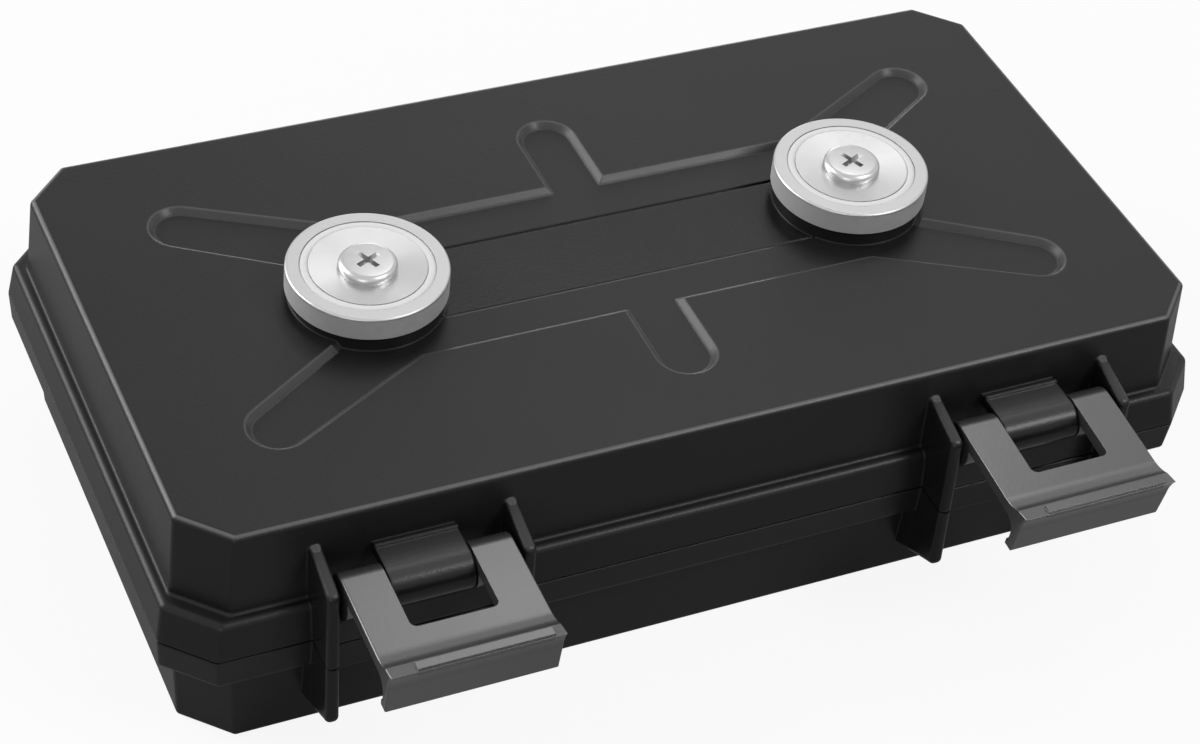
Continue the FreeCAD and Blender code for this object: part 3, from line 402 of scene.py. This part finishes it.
def metal(name, colour, roughness, turned):
    """Plated metal, with the marks of the lathe where turned is above 0."""
    material, tree, shader = new_material(name)
    coords = object_coords(tree)
    smear = noise(tree, coords, SMEAR_SCALE, SMEAR_DETAIL)
    shaded = [SMEAR_SHADE * part for part in colour]
    shade = blend_colours(tree, smear, (*shaded, 1), (*colour, 1))
    tree.links.new(shade, shader.inputs["Base Color"])
    shader.inputs["Metallic"].default_value = 1.0
    shader.inputs["Anisotropic"].default_value = turned
    if turned > 0:
        tangent = add(tree, "Tangent", direction_type="RADIAL", axis="Z")
        tree.links.new(tangent.outputs["Tangent"], shader.inputs["Tangent"])
    gloss = varied_gloss(tree, shader, smear, roughness, SMEAR_GLOSS)
    normal = bump(tree, shader, smear, SMEAR_STRENGTH, SMEAR_DEPTH, METAL_EDGE)
    return Finish(material, tree, shader, coords, shade, gloss, normal)


def dull_the_wall(cup):
    """Makes everything below the cup's rim rougher and less metallic."""
    tree, shader = cup.tree, cup.shader
    wall = below(tree, axis_values(tree, cup.coords)[2], CUP_RIM_Z)
    rough = maths(tree, "ADD", cup.gloss, maths(tree, "MULTIPLY", wall, WALL_ROUGHER))
    tree.links.new(rough, shader.inputs["Roughness"])
    shine = maths(tree, "SUBTRACT", 1.0, maths(tree, "MULTIPLY", wall, WALL_DULLER))
    tree.links.new(shine, shader.inputs["Metallic"])


for name, settings in METALS.items():
    finishes[name] = metal(name, *settings)
dull_the_wall(finishes["cup_nickel"])
print("metals:", ", ".join(METALS))

# %% [markdown]
# ## Giving the solids their finishes
#
# Left and right pieces share a finish, so the names are looked up without their side.

# %% Finish the solids
FINISH_OF = {
    "base_shell": "shell_plastic",
    "lid_shell": "shell_plastic",
    "latch": "latch_plastic",
    "rim_seal": "seal_rubber",
    "hinge_pin": "pin_steel",
    "magnet_cup": "cup_nickel",
    "magnet_filler": "filler_resin",
    "magnet_core": "core_nickel",
    "magnet_screw": "screw_nickel",
    "magnet_gasket": "seal_rubber",
    "magnet_washer": "fixing_zinc",
    "magnet_nut": "fixing_zinc",
}
for name, node in nodes.items():
    family = name.removesuffix("_left").removesuffix("_right")
    node.data.materials.clear()
    node.data.materials.append(finishes[FINISH_OF[family]].material)
print("finished solids:", len(nodes))

# %% [markdown]
# ## Pieces built with Geometry Nodes
#
# Four kinds of piece follow a path or repeat: the rubber bead that runs round the
# base's rim, and the screws, nuts and resin rings, which come in pairs, one for each
# magnet.  Two small node trees with named inputs build them.  The evaluated result is
# copied into a plain mesh, so that nothing is left to evaluate later.

# %% Node tree helpers


def new_tree(name):
    tree = bpy.data.node_groups.new(name, "GeometryNodeTree")
    tree.interface.new_socket("Geometry", in_out="OUTPUT", socket_type="NodeSocketGeometry")
    return tree


def tree_inputs(tree, **kinds):
    """Adds named inputs; returns their identifiers and the sockets that give them."""
    wanted = {}
    for name, kind in kinds.items():
        socket = tree.interface.new_socket(name, in_out="INPUT", socket_type="NodeSocket" + kind)
        wanted[name] = socket.identifier
    return wanted, tree.nodes.new("NodeGroupInput").outputs


def step(tree, kind, links, **settings):
    """One node: links feed its sockets by name or number, and settings do the rest."""
    node = tree.nodes.new(kind)
    for name, value in settings.items():
        setattr(node, name, value)
    for name, value in links.items():
        feed(tree, node.inputs[name], value)
    return node


def close_tree(tree, geometry, material):
    real = step(tree, "GeometryNodeRealizeInstances", {"Geometry": geometry})
    painted = step(tree, "GeometryNodeSetMaterial",
                   {"Geometry": real.outputs["Geometry"], "Material": material})
    step(tree, "NodeGroupOutput", {"Geometry": painted.outputs["Geometry"]})


def plain_copy(thing):
    """The object's mesh as its modifiers leave it."""
    depsgraph = bpy.context.evaluated_depsgraph_get()
    evaluated = thing.evaluated_get(depsgraph)
    return bpy.data.meshes.new_from_object(evaluated, depsgraph=depsgraph)


def bake(name, mesh, tree, settings, sharp_angle):
    """Runs a tree on a mesh and returns a new object that holds the plain result."""
    source = new_object(name + ".source", mesh)
    modifier = source.modifiers.new("pieces", "NODES")
    modifier.node_group = tree
    for identifier, value in settings.items():
        modifier[identifier] = value
    source.update_tag()
    result = plain_copy(source)
    bpy.data.objects.remove(source)
    result.shade_smooth()
    result.set_sharp_from_angle(angle=math.radians(sharp_angle))
    return new_object(name, result)


def hand_over(piece, body, slot, *replaced):
    """Gives the piece to its body in place of the plain solids."""
    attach(piece, body)
    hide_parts(*replaced)
    print(piece.name, "faces:", len(piece.data.polygons))


# %% [markdown]
# ### The rubber bead
#
# The bead is extruded rubber laid in the rim's groove.  It turns through each cut
# corner on a small bend, and its own section has rounded edges.  The path is an
# eight-sided ring of edges that the tree fillets and then sweeps a section along.

# %% Bead
SEAL_LOW, SEAL_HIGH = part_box("rim_seal")
BEAD_WIDTH = 2.0 * MM
BEAD_CORNER_CUT = 6.92 * MM
BEAD_BEND = 3.0 * MM
BEAD_BEND_POINTS = 8
BEAD_EDGE = 0.55 * MM
BEAD_EDGE_POINTS = 5


def bead_path():
    x, y = SEAL_HIGH[0] - BEAD_WIDTH / 2, SEAL_HIGH[1] - BEAD_WIDTH / 2
    z = (SEAL_LOW[2] + SEAL_HIGH[2]) / 2
    cut = BEAD_CORNER_CUT
    corners = [(x, y - cut), (x - cut, y), (cut - x, y), (-x, y - cut),
               (-x, cut - y), (cut - x, -y), (x - cut, -y), (x, cut - y)]
    ring = [(place, (place + 1) % len(corners)) for place in range(len(corners))]
    mesh = bpy.data.meshes.new("bead_path")
    mesh.from_pydata([(*corner, z) for corner in corners], ring, [])
    return mesh


def bead_tree():
    tree = new_tree("bead")
    wanted, given = tree_inputs(
        tree, Path="Geometry", Width="Float", Height="Float",
        Bend="Float", Edge="Float", Rubber="Material")
    curve = step(tree, "GeometryNodeMeshToCurve", {"Mesh": given["Path"]})
    bent = step(
        tree, "GeometryNodeFilletCurve",
        {"Curve": curve.outputs["Curve"], "Radius": given["Bend"], "Count": BEAD_BEND_POINTS},
        mode="POLY")
    upright = step(tree, "GeometryNodeSetCurveNormal",
                   {"Curve": bent.outputs["Curve"]}, mode="Z_UP")
    section = step(tree, "GeometryNodeCurvePrimitiveQuadrilateral",
                   {"Width": given["Width"], "Height": given["Height"]}, mode="RECTANGLE")
    rounded = step(
        tree, "GeometryNodeFilletCurve",
        {"Curve": section.outputs["Curve"], "Radius": given["Edge"], "Count": BEAD_EDGE_POINTS},
        mode="POLY")
    swept = step(
        tree, "GeometryNodeCurveToMesh",
        {"Curve": upright.outputs["Curve"], "Profile Curve": rounded.outputs["Curve"]})
    close_tree(tree, swept.outputs["Mesh"], given["Rubber"])
    return tree, wanted


tree, wanted = bead_tree()
bead = bake("rim_bead", bead_path(), tree, {
    wanted["Width"]: BEAD_WIDTH,
    wanted["Height"]: SEAL_HIGH[2] - SEAL_LOW[2],
    wanted["Bend"]: BEAD_BEND,
    wanted["Edge"]: BEAD_EDGE,
    wanted["Rubber"]: finishes["seal_rubber"].material,
}, sharp_angle=40)
hand_over(bead, "base", "seal_rubber", "rim_seal")

# %% [markdown]
# ### Screws, nuts and resin rings
#
# One screw, one nut and one ring are built at the middle of the lid, as meshes.  A
# shared tree sets each of them at two points, one on each magnet's axis.  All three
# are made of rings of points about that axis, with faces between each ring and the
# next.

# %% Pairs
TURN_POINTS = 48


def pair_tree():
    tree = new_tree("pair")
    wanted, given = tree_inputs(tree, Piece="Geometry", Spacing="Float", Finish="Material")
    half = step(tree, "ShaderNodeMath", {0: given["Spacing"], 1: -0.5}, operation="MULTIPLY")
    first = step(tree, "ShaderNodeCombineXYZ", {"X": half.outputs["Value"]})
    apart = step(tree, "ShaderNodeCombineXYZ", {"X": given["Spacing"]})
    line = step(
        tree, "GeometryNodeMeshLine",
        {"Count": 2, "Start Location": first.outputs["Vector"],
         "Offset": apart.outputs["Vector"]},
        mode="OFFSET")
    placed = step(tree, "GeometryNodeInstanceOnPoints",
                  {"Points": line.outputs["Mesh"], "Instance": given["Piece"]})
    close_tree(tree, placed.outputs["Instances"], given["Finish"])
    return tree, wanted


PAIR_TREE, PAIR_INPUTS = pair_tree()


def make_pair(name, mesh, finish, sharp_angle):
    return bake(name, mesh, PAIR_TREE, {
        PAIR_INPUTS["Spacing"]: 2 * MAGNET_X,
        PAIR_INPUTS["Finish"]: finishes[finish].material,
    }, sharp_angle)


def round_ring(shape, height, radius_at):
    """A ring of points about Z, whose radius may differ round the turn."""
    ring = []
    for point in range(TURN_POINTS):
        turn = point / TURN_POINTS
        angle, radius = 2 * math.pi * turn, radius_at(turn)
        ring.append(shape.verts.new(
            (radius * math.cos(angle), radius * math.sin(angle), height)))
    return ring


def circle(shape, height, radius):
    return round_ring(shape, height, lambda turn: radius)


def skin(shape, rings, closed=False):
    """Faces between each ring and the next; a ring of one point closes an end."""
    following = rings[1:] + (rings[:1] if closed else [])
    for lower, upper in zip(rings, following):
        for point in range(TURN_POINTS):
            after = (point + 1) % TURN_POINTS
            corners = [lower[point % len(lower)], lower[after % len(lower)],
                       upper[after % len(upper)], upper[point % len(upper)]]
            shape.faces.new(list(dict.fromkeys(corners)))


def to_mesh(shape, name):
    bmesh.ops.recalc_face_normals(shape, faces=shape.faces)
    mesh = bpy.data.meshes.new(name)
    shape.to_mesh(mesh)
    shape.free()
    return mesh


print("pair tree inputs:", ", ".join(PAIR_INPUTS))

# %% [markdown]
# #### Screws
#
# The screw is an M4 pan head.  Its thread is a sheet of points wrapped round the
# shank: the radius at each point follows a triangle wave in the height, shifted by the
# angle, which is what makes the thread climb.  The cross recess is cut with a Boolean,
# by two tapered blades.

# %% Screws
SCREW_TIP_Z = SCREW_LOW[2]
HEAD_BASE_Z = 47.65 * MM
HEAD_TOP_Z = SCREW_HIGH[2]
HEAD_RADIUS = (SCREW_HIGH[0] - SCREW_LOW[0]) / 2
HEAD_EDGE = 0.95 * MM
HEAD_EDGE_STEP = 15
THREAD_RADIUS = 2.0 * MM
THREAD_DEPTH = 0.32 * MM
THREAD_PITCH = 0.7 * MM
THREAD_TOP_Z = 40.0 * MM
THREAD_STEPS = 12
TIP_TAPER = 0.4 * MM
CROSS_TOP_SPAN = 4.48 * MM
CROSS_TOP_SLOT = 0.9375 * MM
CROSS_FOOT_SPAN = 2.2 * MM
CROSS_FOOT_SLOT = 0.6375 * MM
CROSS_DEPTH = 1.2 * MM
CROSS_TURN = math.radians(25)
BLADE_RISE = 0.2 * MM


def thread_radius(height, turn):
    """Radius of the thread at a height and a fraction of a turn."""
    wave = (height - SCREW_TIP_Z) / THREAD_PITCH - turn
    tooth = abs(2 * (wave - math.floor(wave)) - 1)
    start = min((height - SCREW_TIP_Z) / THREAD_PITCH, 1)
    finish = min(max((THREAD_TOP_Z - height) / THREAD_PITCH, 0), 1)
    crest = THREAD_RADIUS - (1 - start) * TIP_TAPER
    return crest - THREAD_DEPTH * tooth * min(start, finish)


def head_profile():
    """Radius and height up the head's side and round its top edge."""
    edge = []
    for degrees in range(90, -1, -HEAD_EDGE_STEP):
        angle = math.radians(degrees)
        edge.append((HEAD_RADIUS - HEAD_EDGE * (1 - math.sin(angle)),
                     HEAD_TOP_Z - HEAD_EDGE * (1 - math.cos(angle))))
    return [(THREAD_RADIUS, HEAD_BASE_Z), (HEAD_RADIUS, HEAD_BASE_Z), *edge]


def screw_body():
    shape = bmesh.new()
    length = THREAD_TOP_Z - SCREW_TIP_Z
    rows = round(length / THREAD_PITCH * THREAD_STEPS)
    rings = [[shape.verts.new((0, 0, SCREW_TIP_Z))]]
    for row in range(rows + 1):
        height = SCREW_TIP_Z + length * row / rows
        rings.append(round_ring(shape, height, lambda turn: thread_radius(height, turn)))
    for radius, height in head_profile():
        rings.append(circle(shape, height, radius))
    rings.append([shape.verts.new((0, 0, HEAD_TOP_Z))])
    skin(shape, rings)
    return to_mesh(shape, "screw")


def cross_cutter():
    """Two tapered blades, turned about the screw's axis."""
    shape = bmesh.new()
    for quarter in (0, 1):
        turned = Euler((0, 0, CROSS_TURN + quarter * math.pi / 2))
        for vert in bmesh.ops.create_cube(shape, size=1.0)["verts"]:
            if vert.co.z < 0:
                span, slot, height = CROSS_FOOT_SPAN, CROSS_FOOT_SLOT, HEAD_TOP_Z - CROSS_DEPTH
            else:
                span, slot, height = CROSS_TOP_SPAN, CROSS_TOP_SLOT, HEAD_TOP_Z + BLADE_RISE
            vert.co = Vector((math.copysign(span / 2, vert.co.x),
                              math.copysign(slot / 2, vert.co.y), height))
            vert.co.rotate(turned)
    return to_mesh(shape, "cross")


def cut_cross(mesh):
    head = new_object("head", mesh)
    cutter = new_object("cutter", cross_cutter())
    cut = head.modifiers.new("cross", "BOOLEAN")
    cut.operation = "DIFFERENCE"
    cut.solver = "EXACT"
    cut.use_self = True
    cut.object = cutter
    result = plain_copy(head)
    for thing in (head, cutter):
        bpy.data.objects.remove(thing)
    return result


screws = make_pair("screw_pair", cut_cross(screw_body()), "screw_nickel", sharp_angle=35)
hand_over(screws, "lid", "screw_nickel", "magnet_screw_left", "magnet_screw_right")

# %% [markdown]
# #### Nuts
#
# The nuts are stock M4 hexagons whose six corners are turned off to a cone at both
# ends.  At every angle the side takes the smaller of the hexagon's radius and the
# cone's.

# %% Nuts
NUT_LOW, NUT_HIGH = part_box("magnet_nut_right")
NUT_HALF_FLATS = (NUT_HIGH[1] - NUT_LOW[1]) / 2
NUT_FACE_RADIUS = 3.35 * MM
NUT_BORE = 2.0 * MM
CONE_SLOPE = math.tan(math.radians(60))
CONE_STEP = 0.1 * MM
CONE_STEPS = 5


def hexagon_radius(turn):
    sixth = math.pi / 3
    angle = (2 * math.pi * turn) % sixth - sixth / 2
    return NUT_HALF_FLATS / math.cos(angle)


def nut_radius(depth, turn):
    """Radius of the nut's side at a depth below the nearer end."""
    return min(hexagon_radius(turn), NUT_FACE_RADIUS + depth * CONE_SLOPE)


def nut_body():
    shape = bmesh.new()
    depths = [CONE_STEP * count for count in range(CONE_STEPS + 1)]
    rows = [(NUT_LOW[2] + depth, depth) for depth in depths]
    rows += [(NUT_HIGH[2] - depth, depth) for depth in reversed(depths)]
    rings = [circle(shape, NUT_LOW[2], NUT_BORE)]
    for height, depth in rows:
        rings.append(round_ring(shape, height, lambda turn: nut_radius(depth, turn)))
    rings.append(circle(shape, NUT_HIGH[2], NUT_BORE))
    skin(shape, rings, closed=True)
    return to_mesh(shape, "nut")


nuts = make_pair("nut_pair", nut_body(), "fixing_zinc", sharp_angle=25)
hand_over(nuts, "lid", "fixing_steel", "magnet_nut_left", "magnet_nut_right")

# %% [markdown]
# #### Resin rings
#
# The resin that seals each magnet sets with a low crown, and sinks a little where it
# meets the steel on both sides.

# %% Resin rings
RESIN_LOW, RESIN_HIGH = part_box("magnet_filler_right")
RESIN_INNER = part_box("magnet_core_right")[1][0] - MAGNET_X
RESIN_OUTER = RESIN_HIGH[0] - MAGNET_X
RESIN_SINK = 0.22 * MM
RESIN_CROWN_POWER = 3
RESIN_STEPS = 12


def resin_body():
    shape = bmesh.new()
    rings = [circle(shape, RESIN_LOW[2], RESIN_INNER)]
    for row in range(RESIN_STEPS + 1):
        across = row / RESIN_STEPS
        radius = RESIN_INNER + (RESIN_OUTER - RESIN_INNER) * across
        sunk = RESIN_SINK * abs(2 * across - 1) ** RESIN_CROWN_POWER
        rings.append(circle(shape, RESIN_HIGH[2] - sunk, radius))
    rings.append(circle(shape, RESIN_LOW[2], RESIN_OUTER))
    skin(shape, rings, closed=True)
    return to_mesh(shape, "resin")


resins = make_pair("resin_pair", resin_body(), "filler_resin", sharp_angle=60)
hand_over(resins, "lid", "filler_resin", "magnet_filler_left", "magnet_filler_right")

# %% [markdown]
# ## Floor and world
#
# Both look white to the camera but light the box no more than grey ones would,
# because their brightness depends on the kind of ray that meets them.  In mirrors the
# world stays white and the floor glows only a little.  The floor is a mix of paper,
# which takes the box's shadow, and a glow, which makes it white.

# %% Floor and world
FLOOR_HALF = 3.0
FLOOR_ROUGHNESS = 0.9
FLOOR_BOUNCE = 0.37
FLOOR_SEEN = 0.90
CAMERA_GLOW = 0.90
MIRROR_GLOW = 0.15
SKY_FILL = 0.25


def ray_kinds(tree):
    """Masks for the camera's own rays, and for mirrored and refracted ones."""
    paths = add(tree, "LightPath").outputs
    return paths["Is Camera Ray"], either(
        tree, paths["Is Glossy Ray"], paths["Is Transmission Ray"])


def make_floor():
    mesh = bpy.data.meshes.new("floor")
    signs = ((-1, -1), (1, -1), (1, 1), (-1, 1))
    mesh.from_pydata([(x * FLOOR_HALF, y * FLOOR_HALF, 0) for x, y in signs], [], [(0, 1, 2, 3)])
    material, tree, shader = new_material("floor_paper")
    seen, mirrored = ray_kinds(tree)
    paper = remap(tree, seen, 0, 1, FLOOR_BOUNCE, FLOOR_SEEN)
    tree.links.new(paper, shader.inputs["Base Color"])
    shader.inputs["Roughness"].default_value = FLOOR_ROUGHNESS
    shader.inputs["Specular IOR Level"].default_value = 0.0
    glow = add(tree, "Emission")
    glowing = either(tree, maths(tree, "MULTIPLY", seen, CAMERA_GLOW),
                     maths(tree, "MULTIPLY", mirrored, MIRROR_GLOW))
    mix = add(tree, "MixShader")
    tree.links.new(glowing, mix.inputs["Fac"])
    tree.links.new(shader.outputs["BSDF"], mix.inputs[1])
    tree.links.new(glow.outputs["Emission"], mix.inputs[2])
    surface = tree.nodes["Material Output"].inputs["Surface"]
    tree.links.new(mix.outputs["Shader"], surface)
    mesh.materials.append(material)
    floor = new_object("floor", mesh)


def make_world():
    world = bpy.data.worlds.new("world")
    world.use_nodes = True
    tree = world.node_tree
    sky = tree.nodes["Background"]
    strength = either(tree, either(tree, *ray_kinds(tree)), SKY_FILL)
    tree.links.new(strength, sky.inputs["Strength"])
    sky.inputs["Color"].default_value = grey(1)
    bpy.context.scene.world = world


make_floor()
make_world()
print("floor:", 2 * FLOOR_HALF, "m across")

# %% [markdown]
# ## Lamps
#
# A soft lamp at the left and a smaller one at the right front do most of the lighting.
# The others are weaker: they lift the near and left sides, and draw the light lines
# along the far edges.  A lamp's power is worked out from the brightness of its face,
# so that its reflection stays as bright when its size is changed.

# %% Lamps
LAMP_DISTANCE = 1.3
LAMP_TARGET = Vector((0, 0, 0.02))

# Azimuth in degrees from the back towards +X, elevation, size in metres, brightness.
LAMPS = {
    "left_low": (315, 12, 0.55, 4.4),
    "left_key": (305, 32, 0.65, 6.5),
    "front_key": (140, 48, 0.40, 12.0),
    "front_low": (220, 14, 0.55, 2.0),
    "back_high": (36, 55, 0.45, 2.0),
    "back_low": (22, 8, 0.40, 3.0),
}


def make_lamp(name, azimuth, elevation, size, brightness):
    """A square lamp aimed at the box.  A brightness of 1 is that of white paper."""
    turn, rise = math.radians(azimuth), math.radians(elevation)
    level = LAMP_DISTANCE * math.cos(rise)
    place = Vector((
        level * math.sin(turn), level * math.cos(turn), LAMP_DISTANCE * math.sin(rise)))
    data = bpy.data.lights.new(name, "AREA")
    data.shape = "SQUARE"
    data.size = size
    data.energy = brightness * math.pi * size ** 2
    lamp = new_object(name, data)
    lamp.location = place
    lamp.rotation_mode = "QUATERNION"
    lamp.rotation_quaternion = (LAMP_TARGET - place).to_track_quat("-Z", "Y")


for name, settings in LAMPS.items():
    make_lamp(name, *settings)
bpy.context.scene.view_settings.view_transform = "Standard"
print("lamps:", ", ".join(LAMPS))
